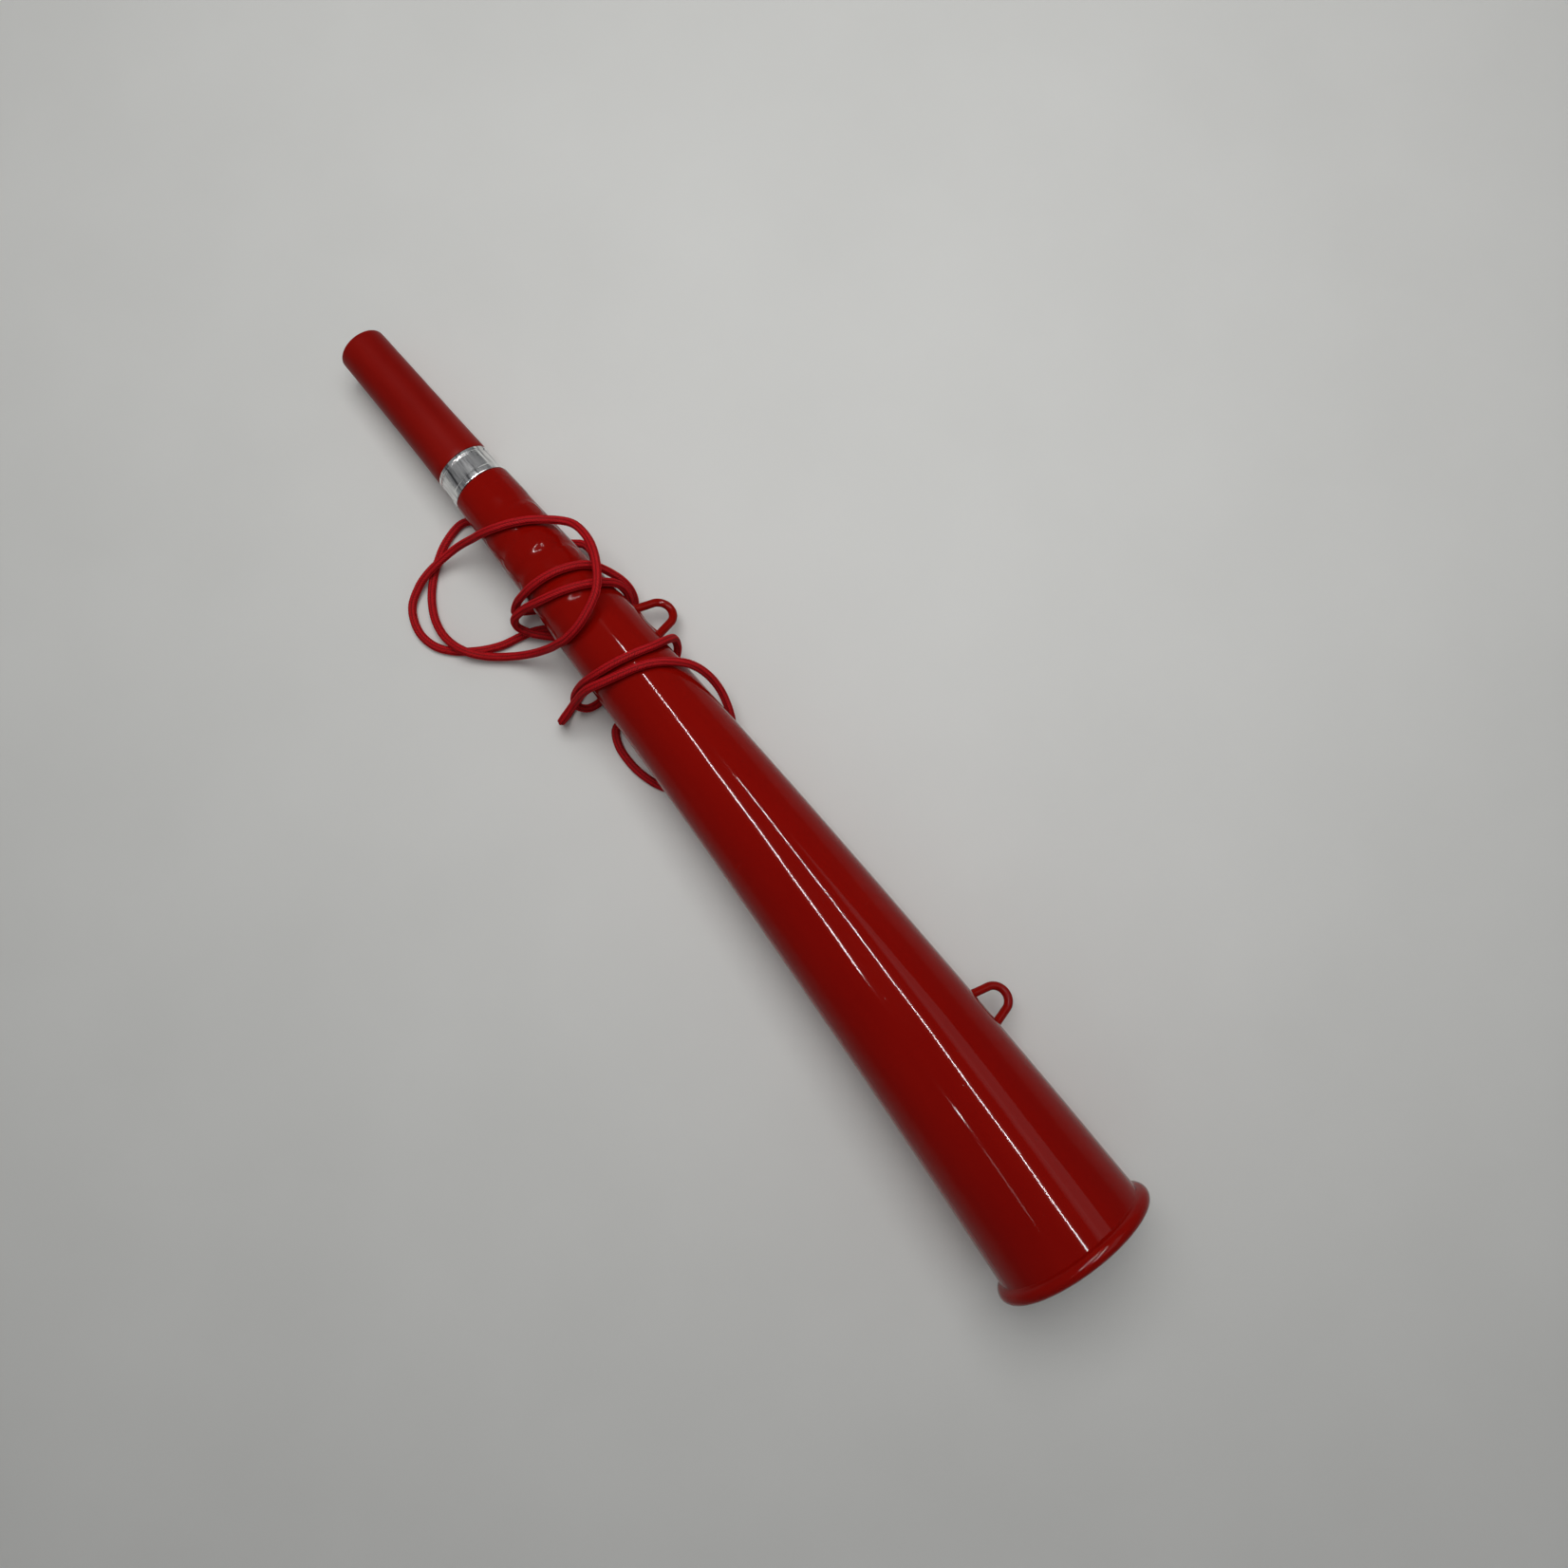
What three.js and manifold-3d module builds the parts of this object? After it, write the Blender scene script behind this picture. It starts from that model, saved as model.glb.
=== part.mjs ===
// Stadium cheering horn with a reed mouthpiece and a neck cord, lying on its bell rim and on the cord.
// Millimetres. +X runs from the mouth to the bell, +Z up, origin at the middle of the base.
import * as THREE from "three";
import { mergeVertices } from "three/addons/utils/BufferGeometryUtils.js";
import Module from "manifold-3d";

const wasm = await Module();
wasm.setup();

// ---- Horn: stations are distances along the axis from the mouth ----
const LENGTH = 610;
const BOW = 5.8; // sideways bow of the long moulding, in the middle
const MOUTH_RADIUS = 13.6;
const MOUTH_CLEARANCE = 5.0; // height of the mouth end above the surface, held up by the cord
const WALL = 2.0;
const GAP = 0.3; // clearance between neighbouring pieces

// Mouthpiece tube
const MOUTHPIECE_END = 92.3;
const MOUTHPIECE_OUTLINE = [[40, 14.4], [72, 15.2], [MOUTHPIECE_END, 16.0]];
const MOUTH_LIP = 1.2;
const BORE_RADIUS = 11.3;
const SPIGOT_RADIUS = 13.2;
const SPIGOT_END = 118;

// Chrome ring
const RING_START = 92.6;
const RING_END = 109.1;
const RING_RADIUS = 16.0;
const RING_INNER_RADIUS = 15.2;
const RING_LIP_END = 94.4; // narrow lip on the mouthpiece side
const RING_FLANGE_START = 106.4; // wider flange against the barrel

// Barrel: a slightly fuller cone under the grip, then one straight cone to the bell
const NECK_START = 93.0;
const NECK_RADIUS = 14.9;
const SHOULDER = 109.4;
const SOCKET_RADIUS = 13.5;
const SOCKET_END = 119;
const GRIP_END = 205;
const BARREL_OUTLINE = [[SHOULDER, 16.85], [GRIP_END, 21.9], [280, 25.2], [602, 40.95]];
const RIM_CENTRE = 606.1;
const RIM_TUBE_RADIUS = 3.9;
const RIM_RADIUS = 44.85;
const REST_FACE = 2.8; // width of the flat ring on the bell's end
const REST_FACE_RADIUS = 40.65; // its middle, a little inside the bead's own middle
const BELL_START = 535.5; // the last stretch of the barrel is a node of its own from here

// Finger grip: transverse ridges across the upper side
const RIDGE_COUNT = 4;
const RIDGE_PITCH = 16.6;
const FIRST_RIDGE = 141;
const RIDGE_DEPTH = 0.8;
const RIDGE_HALF_ANGLE = 60; // degrees either side of the top

// Cord lugs on the parting line
const LUG_ANGLE = -22; // degrees above the +Y side
const LUG_STATIONS = { upper_lug: 222.5, lower_lug: 493.2 };
const LUG_ROD_RADIUS = 2.3;
const LUG_FOOT_SPREAD = 9.5;
const LUG_ARC_RADIUS = 7.4;
const LUG_ARC_HEIGHT = 10.6;
const LUG_WEB_HEIGHT = 3.5;
const LUG_WEB_THICKNESS = 2.0;

// Reed set, inside the mouthpiece tube
const REED_BLOCK = { start: 88, end: 98, radius: 11.0, hole: 4.5 };
const SHALLOT = { start: 50, end: 97.5, radius: 4.2, bore: 3.2, flatHeight: 2.6, flatEnd: 87 };
const COLLAR = { start: 81, end: 86, inner: 5.2, outer: 6.6 };
const TONGUE = { start: 51, end: 86, width: 6.4, thickness: 0.5, openAngle: 2 };
const WEDGE = { start: 82, end: 85.6, width: 3.2, thickness: 0.7 };

const BOW_RADIUS = (LENGTH * LENGTH) / (8 * BOW);
const TILT = Math.asin((RIM_RADIUS - MOUTH_RADIUS - MOUTH_CLEARANCE) / RIM_CENTRE);
const AXIS_HEIGHT = MOUTH_RADIUS * Math.cos(TILT) + MOUTH_CLEARANCE;
const ORIGIN = new THREE.Vector3(305.53, 4.74, 0); // middle of the base, from the mouth's centre

// ---- Neck cord ----
const CORD_RADIUS = 2.25;
const CORD_SIDES = 8;
const CORD_END_INSET = 0.3;
const CORD_CLEARANCE = 3.2; // cord's centre line above the barrel's surface, where it is wound on
const KNOT_RADIUS = 4.2;
const KNOT_CENTRES = { lanyard_knot_a: [-104, 15.6, 4.5], lanyard_knot_b: [-84.6, -17.9, 4.4] };

const radians = THREE.MathUtils.degToRad;

// ---- Shared geometry helpers ----

// Straight-line interpolation in an outline of [station, radius] rows.
function outlineRadius(outline, station) {
  let i = 1;
  while (i < outline.length - 1 && outline[i][0] < station) i += 1;
  const [x0, r0] = outline[i - 1];
  const [x1, r1] = outline[i];
  return r0 + ((r1 - r0) * (station - x0)) / (x1 - x0);
}

// A closed ring or a solid turned about the X axis from a profile of [station, radius] rows.
function turned(profile, segments) {
  const points = profile.map(([x, r]) => new THREE.Vector2(r, x));
  return new THREE.LatheGeometry(points, segments).rotateZ(-Math.PI / 2);
}

// Moves a point of the straight horn onto its bowed axis.
function bowPoint(point) {
  const angle = (point.x - LENGTH / 2) / BOW_RADIUS;
  const reach = BOW_RADIUS + point.y;
  point.x = LENGTH / 2 + reach * Math.sin(angle);
  point.y = reach * Math.cos(angle) - BOW_RADIUS + BOW;
  return point;
}

function bowed(geometry) {
  const position = geometry.getAttribute("position");
  const point = new THREE.Vector3();
  for (let i = 0; i < position.count; i += 1) {
    bowPoint(point.fromBufferAttribute(position, i));
    position.setXYZ(i, point.x, point.y, point.z);
  }
  return geometry;
}

function toSolid(geometry) {
  const bare = new THREE.BufferGeometry();
  bare.setAttribute("position", geometry.getAttribute("position").clone());
  if (geometry.index) bare.setIndex(geometry.index.clone());
  const merged = mergeVertices(bare, 1e-4);
  return new wasm.Manifold(
    new wasm.Mesh({
      numProp: 3,
      vertProperties: merged.getAttribute("position").array,
      triVerts: new Uint32Array(merged.index.array),
    }),
  );
}

function toGeometry(solid) {
  const mesh = solid.getMesh();
  const geometry = new THREE.BufferGeometry();
  geometry.setAttribute("position", new THREE.BufferAttribute(mesh.vertProperties, 3));
  geometry.setIndex(new THREE.BufferAttribute(mesh.triVerts, 1));
  geometry.computeVertexNormals();
  return geometry;
}

// A box from low to high corner.
function boxBetween(low, high) {
  const size = high.map((value, i) => value - low[i]);
  const centre = high.map((value, i) => (value + low[i]) / 2);
  return new THREE.BoxGeometry(...size).translate(...centre);
}

// Rows of [station, radius] along a circular arc, angles in degrees from the +X direction.
function arcRows(x, r, radius, from, to, steps) {
  const rows = [];
  for (let i = 0; i <= steps; i += 1) {
    const angle = radians(from + ((to - from) * i) / steps);
    rows.push([x + radius * Math.cos(angle), r + radius * Math.sin(angle)]);
  }
  return rows;
}

// ---- Mouthpiece ----

function mouthpieceTube() {
  const lip = arcRows(MOUTH_LIP, MOUTH_RADIUS - MOUTH_LIP, MOUTH_LIP, 180, 90, 3);
  return turned(
    [
      [0, BORE_RADIUS],
      ...lip,
      ...MOUTHPIECE_OUTLINE,
      [MOUTHPIECE_END, SPIGOT_RADIUS],
      [SPIGOT_END, SPIGOT_RADIUS],
      [SPIGOT_END, BORE_RADIUS],
      [0, BORE_RADIUS],
    ],
    40,
  );
}

function chromeRing() {
  return turned(
    [
      [RING_START, RING_INNER_RADIUS],
      [RING_START, RING_RADIUS - 0.1],
      [RING_START + 0.6, RING_RADIUS + 0.15],
      [RING_LIP_END, RING_RADIUS + 0.15],
      [RING_LIP_END + 0.6, RING_RADIUS - 0.15],
      [RING_FLANGE_START - 0.8, RING_RADIUS + 0.3],
      [RING_FLANGE_START, RING_RADIUS + 0.7],
      [RING_END - 0.5, RING_RADIUS + 0.8],
      [RING_END, RING_RADIUS + 0.6],
      [RING_END, RING_INNER_RADIUS],
      [RING_START, RING_INNER_RADIUS],
    ],
    40,
  );
}

// ---- Barrel ----

// How far the grip's surface drops below the ridge crests, at an angle from the top.
function gripDrop(station, fromTop) {
  const along = (station - FIRST_RIDGE) / RIDGE_PITCH;
  if (along < -0.5 || along > RIDGE_COUNT - 0.5 || fromTop > RIDGE_HALF_ANGLE) return 0;
  const fade = Math.cos((Math.PI / 2) * (fromTop / RIDGE_HALF_ANGLE) ** 3);
  return RIDGE_DEPTH * fade * Math.sin(Math.PI * along) ** 2;
}

// Outer or inner surface of the barrel at the given stations.
const outerRows = (stations) => stations.map((x) => [x, outlineRadius(BARREL_OUTLINE, x)]);
const innerRows = (stations) => stations.map((x) => [x, outlineRadius(BARREL_OUTLINE, x) - WALL]);

function barrelProfile() {
  const gripStart = FIRST_RIDGE - RIDGE_PITCH / 2;
  const gripSteps = Array.from({ length: RIDGE_COUNT * 6 + 1 }, (_, i) => i);
  const gripStations = gripSteps.map((i) => gripStart + (i * RIDGE_PITCH) / 6);
  return [
    [NECK_START, SOCKET_RADIUS],
    [NECK_START, NECK_RADIUS],
    [SHOULDER, NECK_RADIUS],
    BARREL_OUTLINE[0],
    ...outerRows([...gripStations, GRIP_END, 280, 360, 440, BELL_START - GAP]),
    ...innerRows([BELL_START - GAP, 400, 280, GRIP_END, SOCKET_END + 8]),
    [SOCKET_END, SOCKET_RADIUS],
    [NECK_START, SOCKET_RADIUS],
  ];
}

// The mouth of the bell, with its beaded rim and the flat that it stands on.
function bellEnd() {
  const rimMiddle = RIM_RADIUS - RIM_TUBE_RADIUS;
  return turned(
    [
      ...innerRows([BELL_START]),
      ...outerRows([BELL_START, 570, 600]),
      ...arcRows(RIM_CENTRE, rimMiddle, RIM_TUBE_RADIUS, 175, 25, 8),
      [LENGTH, REST_FACE_RADIUS + REST_FACE / 2],
      [LENGTH, REST_FACE_RADIUS - REST_FACE / 2],
      [LENGTH - 0.5, rimMiddle - WALL],
      ...innerRows([BELL_START]),
    ],
    48,
  );
}

function hornBarrel() {
  const geometry = turned(barrelProfile(), 48);
  const position = geometry.getAttribute("position");
  for (let i = 0; i < position.count; i += 1) {
    const [x, y, z] = [position.getX(i), position.getY(i), position.getZ(i)];
    const radius = Math.hypot(y, z);
    const isOuter = radius > outlineRadius(BARREL_OUTLINE, x) - 0.01;
    if (!isOuter || x < SHOULDER || x > GRIP_END) continue;
    const fromTop = THREE.MathUtils.radToDeg(Math.abs(Math.atan2(y, z)));
    const scale = 1 - gripDrop(x, fromTop) / radius;
    position.setY(i, y * scale);
    position.setZ(i, z * scale);
  }
  return geometry;
}

// ---- Lugs ----

// Centre line of a lug's rod in its own plane: x along the horn, z out from the barrel.
class LugLine extends THREE.CurvePath {
  constructor() {
    super();
    const toArc = Math.hypot(LUG_FOOT_SPREAD, LUG_ARC_HEIGHT);
    const start = Math.acos(LUG_ARC_RADIUS / toArc) - Math.atan2(LUG_ARC_HEIGHT, LUG_FOOT_SPREAD);
    const onArc = (angle) =>
      new THREE.Vector3(
        LUG_ARC_RADIUS * Math.cos(angle),
        0,
        LUG_ARC_HEIGHT + LUG_ARC_RADIUS * Math.sin(angle),
      );
    const foot = new THREE.Vector3(LUG_FOOT_SPREAD + 0.9, 0, -1.2);
    const otherFoot = new THREE.Vector3(-foot.x, 0, foot.z);
    this.add(new THREE.LineCurve3(foot, onArc(start)));
    const arcPoints = Array.from({ length: 9 }, (_, i) => onArc(start + ((Math.PI - 2 * start) * i) / 8));
    this.add(new THREE.CatmullRomCurve3(arcPoints));
    this.add(new THREE.LineCurve3(onArc(Math.PI - start), otherFoot));
  }
}

function roundSection(radius, sides) {
  const shape = new THREE.Shape();
  for (let i = 0; i < sides; i += 1) {
    const angle = (2 * Math.PI * i) / sides;
    const [x, y] = [radius * Math.cos(angle), radius * Math.sin(angle)];
    if (i === 0) shape.moveTo(x, y);
    else shape.lineTo(x, y);
  }
  shape.closePath();
  return shape;
}

// A D-shaped lug at a station, cut to sit just clear of the barrel.
function cordLug(station) {
  const rod = new THREE.ExtrudeGeometry(roundSection(LUG_ROD_RADIUS, 10), {
    steps: 22,
    extrudePath: new LugLine(),
  });
  const web = boxBetween(
    [-LUG_FOOT_SPREAD, -LUG_WEB_THICKNESS / 2, -1.2],
    [LUG_FOOT_SPREAD, LUG_WEB_THICKNESS / 2, LUG_WEB_HEIGHT],
  );
  const place = (geometry) =>
    geometry
      .translate(station, 0, outlineRadius(BARREL_OUTLINE, station))
      .rotateX(radians(LUG_ANGLE - 90));
  const outline = BARREL_OUTLINE.map(([x, r]) => [x, r + GAP]);
  const barrelCore = turned([[SHOULDER, 0], ...outline, [outline.at(-1)[0], 0]], 96);
  return toGeometry(toSolid(place(rod)).add(toSolid(place(web))).subtract(toSolid(barrelCore)));
}

// ---- Reed set ----

function reedBlock() {
  const { start, end, radius, hole } = REED_BLOCK;
  return turned([[start, hole], [start, radius], [end, radius], [end, hole], [start, hole]], 40);
}

function reedShallot() {
  const { start, end, radius, bore, flatHeight, flatEnd } = SHALLOT;
  const rod = turned([[start, 0], [start, radius], [end, radius], [end, 0]], 32);
  const hollow = turned([[start + 1.5, 0], [start + 1.5, bore], [end + 1, bore], [end + 1, 0]], 32);
  const aboveFlat = boxBetween([start - 1, -radius - 1, flatHeight], [flatEnd, radius + 1, radius + 1]);
  return toGeometry(toSolid(rod).subtract(toSolid(hollow)).subtract(toSolid(aboveFlat)));
}

function reedCollar() {
  const { start, end, inner, outer } = COLLAR;
  return turned([[start, inner], [start, outer], [end, outer], [end, inner], [start, inner]], 32);
}

// The tongue lifts off the shallot towards its free end, at the mouth side.
function reedTongue() {
  const { start, end, width, thickness, openAngle } = TONGUE;
  return boxBetween([start - end, -width / 2, 0], [0, width / 2, thickness])
    .rotateY(radians(openAngle))
    .translate(end, 0, SHALLOT.flatHeight + GAP);
}

function reedWedge() {
  const { start, end, width, thickness } = WEDGE;
  const low = SHALLOT.flatHeight + GAP + TONGUE.thickness + 0.5;
  return boxBetween([start, -width / 2, low], [end, width / 2, low + thickness]);
}

// ---- Neck cord route, from one knot to the other ----

const at = (x, y, z) => new THREE.Vector3(x, y, z);

// A point over the barrel: station, angle from the +Y side towards the top, and height above the surface.
function over(station, angle, clearance = CORD_CLEARANCE) {
  const radius = outlineRadius(BARREL_OUTLINE, station) + clearance;
  const side = radius * Math.cos(radians(angle));
  const up = radius * Math.sin(radians(angle));
  return horn.localToWorld(bowPoint(at(station, side, up)));
}

// From the first knot out on the -Y side, round a wide loop on the surface and over the grip, back over
// the barrel, and round a second, inner lap to pass under the barrel by the grip.
const loopRoute = () => [
  at(-104.5, 11, 3.8), at(-105.9, 3.6, 2.6), at(-109.5, -5.7, 2.5), at(-115.4, -15.8, 2.4),
  at(-122.3, -26.4, 2.4), at(-125.4, -36.1, 2.4), at(-128.1, -47.2, 2.4), at(-134.6, -60.2, 2.4),
  at(-143.4, -71, 2.4), at(-151.9, -76.8, 2.4), at(-163.5, -78.6, 2.4), at(-176.5, -73.4, 2.7),
  at(-182.8, -63.4, 4.6), at(-184.9, -54.5, 6.9), at(-185.1, -43.1, 9.8),
  at(-182.9, -31.5, 15.3), over(129.3, 169, 3.8), over(134.2, 142), over(139.5, 114),
  over(144.9, 86), over(149.8, 60, 3.3), at(-145.5, 23.9, 40.5), at(-133.4, 26.1, 46.8),
  at(-120.6, 24, 53.7), at(-107.6, 17.5, 58.9), at(-100.3, 10.8, 60), over(212.7, 100, 7.2),
  over(211.9, 126, 4.5), over(208.5, 148, 3.3), at(-103.2, -26.8, 25.5), at(-110.8, -36.7, 12.9),
  at(-118.7, -46.8, 6.6), at(-127.4, -57.1, 5.7), at(-136.4, -64.4, 7.3), at(-148.6, -68.5, 6.1),
  at(-161.3, -67.7, 3.6), at(-172.1, -62.9, 2.6), at(-179.6, -57, 2.4), at(-187.2, -48.3, 2.4),
  at(-194.6, -35.9, 2.4), at(-197.5, -22.5, 2.4), at(-193.5, -15.5, 2.5), at(-181.8, -6.1, 2.5),
  at(-170.5, 1.1, 2.5),
];

// Two turns in front of the upper lug, then one behind it.
const turnsRoute = () => [
  at(-159.3, 8.7, 3), at(-149.8, 17.1, 5.2), at(-142, 23.7, 8.2), at(-134.7, 23.8, 8.1),
  at(-129.4, 19.2, 6), at(-127.2, 9.9, 3.5), at(-126.4, 0.1, 2.6), at(-127.5, -9.9, 3.1),
  at(-130.7, -19.7, 5.4), at(-133.5, -26.8, 10.8), at(-133, -29, 17.8), at(-132.8, -24.5, 28.2),
  over(175.6, 146), over(177.6, 122), over(179.6, 98), over(182.2, 74), over(185.2, 50),
  over(188.8, 29), at(-106.9, 27.3, 24.5), at(-100.3, 26.8, 12.8), at(-96.8, 23.3, 7.2),
  at(-96.4, 15.9, 3.8), at(-98.2, 6.1, 2.6), at(-101.2, -3.8, 2.7), at(-106.4, -13.7, 4.4),
  at(-113.3, -22.4, 7.2), at(-120.6, -29.4, 9.3), at(-126.6, -33.1, 13.9),
  at(-128.2, -31.1, 23.8), at(-126, -24, 33.1), over(183.5, 142), over(187.8, 118),
  over(191.5, 94), over(195.3, 70), over(198.7, 46), over(201.1, 24), over(204.1, 0),
  at(-97.2, 23, 16), at(-93.1, 19.9, 10.6), at(-88.2, 14.6, 6.3), at(-81.8, 6, 2.9),
  at(-75.2, -4.1, 2.5), at(-70.6, -14.1, 2.6), at(-68.4, -24.1, 2.5), at(-69.4, -31.1, 4.4),
  at(-73, -34.7, 9.9), at(-75.3, -32.8, 16.7), at(-75.4, -29.7, 23.7), over(231.7, 168, 3.6),
  over(234.5, 144), over(237.4, 120), over(240, 96), over(242.3, 74), over(243.8, 52),
  over(243.1, 28), at(-65.5, 29.4, 20.7), at(-62.6, 27.7, 11.7), at(-59, 21.1, 5.7),
  at(-55.2, 11.4, 3.1), at(-51.9, 0.1, 2.4),
];

// A bow out on the -Y side, one last turn over the barrel, and back under itself to the second knot.
const tailRoute = () => [
  at(-51.2, -10, 2.5), at(-52.4, -19.1, 2.5), at(-50.8, -26.3, 2.4), at(-42.9, -30.6, 2.4),
  at(-32, -31.6, 2.4), at(-22.2, -30.4, 2.4), at(-13.2, -27.5, 2.4), at(-6.7, -23.6, 2.5),
  at(-0.8, -13.7, 2.5), at(1.2, -2.1, 2.4), at(-2, 8.9, 3), at(-7.1, 18.6, 5.5),
  at(-11.5, 24.8, 10), at(-16.9, 28.2, 15.7), at(-28.2, 31.3, 25.4), at(-37.9, 30.3, 35.8),
  at(-45.7, 25.7, 44.6), over(252.9, 60), over(249.1, 82), over(246, 104, 3.4),
  over(242.8, 124, 4.8), over(239.3, 143, 6.7), at(-70.8, -33, 26.6), at(-70.8, -39.9, 19.5),
  at(-70.7, -45.6, 13.6), at(-72.1, -45.8, 7.3), at(-74.3, -41.7, 2.5), at(-77, -34.7, 2.4),
  at(-79.6, -27.6, 2.6), at(-82.5, -22, 3),
];

// A smooth curve whose even steps fall on its own points.
class RouteCurve extends THREE.CatmullRomCurve3 {
  getPointAt(t, target) {
    return this.getPoint(t, target);
  }

  getTangentAt(t, target) {
    return this.getTangent(t, target);
  }
}

// A stretch of the cord, kept a little short of its neighbour at each end.
function cordTube(points) {
  const ends = [points[0], points.at(-1)];
  const neighbours = [points[1], points.at(-2)];
  ends.forEach((end, i) => {
    const inward = neighbours[i].clone().sub(end).setLength(CORD_END_INSET);
    end.add(inward);
  });
  return new THREE.ExtrudeGeometry(roundSection(CORD_RADIUS, CORD_SIDES), {
    steps: points.length - 1,
    extrudePath: new RouteCurve(points),
  });
}

function cordKnot(centre) {
  return new THREE.SphereGeometry(KNOT_RADIUS, 14, 10).scale(1, 1, 0.93).translate(...centre);
}

// ---- Assembly ----

const materials = {
  barrel: new THREE.MeshStandardMaterial({ color: 0xb0170f, roughness: 0.22 }),
  mouthpiece: new THREE.MeshStandardMaterial({ color: 0xa81a12, roughness: 0.35 }),
  chrome: new THREE.MeshStandardMaterial({ color: 0xd8d8da, roughness: 0.08, metalness: 1 }),
  brass: new THREE.MeshStandardMaterial({ color: 0xc9a24a, roughness: 0.3, metalness: 1 }),
  block: new THREE.MeshStandardMaterial({ color: 0x202020, roughness: 0.6 }),
  braid: new THREE.MeshStandardMaterial({ color: 0xb3202a, roughness: 0.85 }),
};

const horn = new THREE.Group();
horn.rotation.y = -TILT;
horn.position.set(0, 0, AXIS_HEIGHT).sub(ORIGIN);

function addToHorn(name, geometry, material) {
  const mesh = new THREE.Mesh(bowed(geometry), material);
  mesh.name = name;
  horn.add(mesh);
}

addToHorn("mouthpiece_tube", mouthpieceTube(), materials.mouthpiece);
addToHorn("chrome_ring", chromeRing(), materials.chrome);
addToHorn("horn_barrel", hornBarrel(), materials.barrel);
addToHorn("bell_end", bellEnd(), materials.barrel);
for (const [name, station] of Object.entries(LUG_STATIONS)) {
  addToHorn(name, cordLug(station), materials.barrel);
}
addToHorn("reed_block", reedBlock(), materials.block);
addToHorn("reed_shallot", reedShallot(), materials.brass);
addToHorn("reed_collar", reedCollar(), materials.brass);
addToHorn("reed_tongue", reedTongue(), materials.brass);
addToHorn("reed_wedge", reedWedge(), materials.block);

const part = new THREE.Group();
part.add(horn);

function addCord(name, geometry) {
  const mesh = new THREE.Mesh(geometry, materials.braid);
  mesh.name = name;
  part.add(mesh);
}

part.updateMatrixWorld(true);
const [loopPoints, turnsPoints, tailPoints] = [loopRoute(), turnsRoute(), tailRoute()];
const turnsStart = loopPoints.at(-1).clone();
const tailStart = turnsPoints.at(-1).clone();
addCord("lanyard_loop", cordTube(loopPoints));
addCord("lanyard_turns", cordTube([turnsStart, ...turnsPoints]));
addCord("lanyard_tail", cordTube([tailStart, ...tailPoints]));
for (const [name, centre] of Object.entries(KNOT_CENTRES)) addCord(name, cordKnot(centre));

export default part;
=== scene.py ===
"""Looks of the cheer horn: a red stadium horn with a chrome ring, a reed mouthpiece and a braided neck cord.

Metres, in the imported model's own frame: +X runs from the mouth to the bell, +Z is up.
The horn's pieces are made along a straight axis, then carried onto the bowed and tilted one by to_frame().
"""

import bpy
import numpy as np
from mathutils import Matrix, Vector


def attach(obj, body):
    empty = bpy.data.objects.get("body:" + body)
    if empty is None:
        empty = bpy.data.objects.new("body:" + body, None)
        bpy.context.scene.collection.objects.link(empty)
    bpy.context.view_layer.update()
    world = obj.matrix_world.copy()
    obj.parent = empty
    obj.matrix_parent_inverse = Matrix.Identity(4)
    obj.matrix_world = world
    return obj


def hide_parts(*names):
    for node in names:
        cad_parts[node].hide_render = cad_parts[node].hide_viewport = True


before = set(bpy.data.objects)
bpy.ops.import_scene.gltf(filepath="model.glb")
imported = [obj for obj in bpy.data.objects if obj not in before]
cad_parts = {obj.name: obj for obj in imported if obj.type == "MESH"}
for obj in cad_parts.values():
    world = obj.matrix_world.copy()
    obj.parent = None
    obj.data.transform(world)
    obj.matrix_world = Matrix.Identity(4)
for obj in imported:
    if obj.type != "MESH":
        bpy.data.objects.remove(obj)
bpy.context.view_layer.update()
scene = bpy.context.scene

# ---- Sizes shared with the CAD source ----
LENGTH = 0.610
BOW = 0.0058
MOUTH_RADIUS = 0.0136
MOUTH_CLEARANCE = 0.0050
MOUTHPIECE_END = 0.0923
MOUTHPIECE_OUTLINE = [(0, 0.0136), (0.040, 0.0144), (0.072, 0.0152), (MOUTHPIECE_END, 0.0160)]
BORE_RADIUS = 0.0113
SPIGOT_RADIUS = 0.0132
SPIGOT_END = 0.118
RING_START = 0.0926
RING_END = 0.1091
RING_INNER_RADIUS = 0.0152
NECK_START = 0.0930
NECK_RADIUS = 0.0149
SHOULDER = 0.1094
SOCKET_RADIUS = 0.0135
SOCKET_END = 0.119
WALL = 0.0020
BARREL_OUTLINE = [(SHOULDER, 0.01685), (0.205, 0.0219), (0.280, 0.0252), (0.602, 0.04095)]
RIM_CENTRE = 0.6061
RIM_TUBE_RADIUS = 0.0039
RIM_RADIUS = 0.04485
REST_FACE = 0.0028
RIDGE_COUNT = 4
RIDGE_PITCH = 0.0166
FIRST_RIDGE = 0.141
LUG_ANGLE = -22.0
PARTING_ANGLES = (LUG_ANGLE, 158.0)
UPPER_LUG, LOWER_LUG = 0.2225, 0.4932
LUG_ROD_RADIUS = 0.0023
LUG_FOOT_SPREAD = 0.0095
LUG_ARC_RADIUS = 0.0074
LUG_ARC_HEIGHT = 0.0106
CORD_CLEARANCE = 0.0032  # centre line over the barrel in the CAD route, whose straight steps cut the curve
CORD_SETTLE = 0.0005  # the smooth cord here lies this much closer
KNOT_A = (-0.104, 0.0156, 0.0045)
KNOT_B = (-0.0846, -0.0179, 0.0044)

BOW_RADIUS = LENGTH**2 / (8 * BOW)
TILT = np.arcsin((RIM_RADIUS - MOUTH_RADIUS - MOUTH_CLEARANCE) / RIM_CENTRE)
AXIS_HEIGHT = MOUTH_RADIUS * np.cos(TILT) + MOUTH_CLEARANCE
ORIGIN = np.array([0.30553, 0.00474, 0.0])


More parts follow.
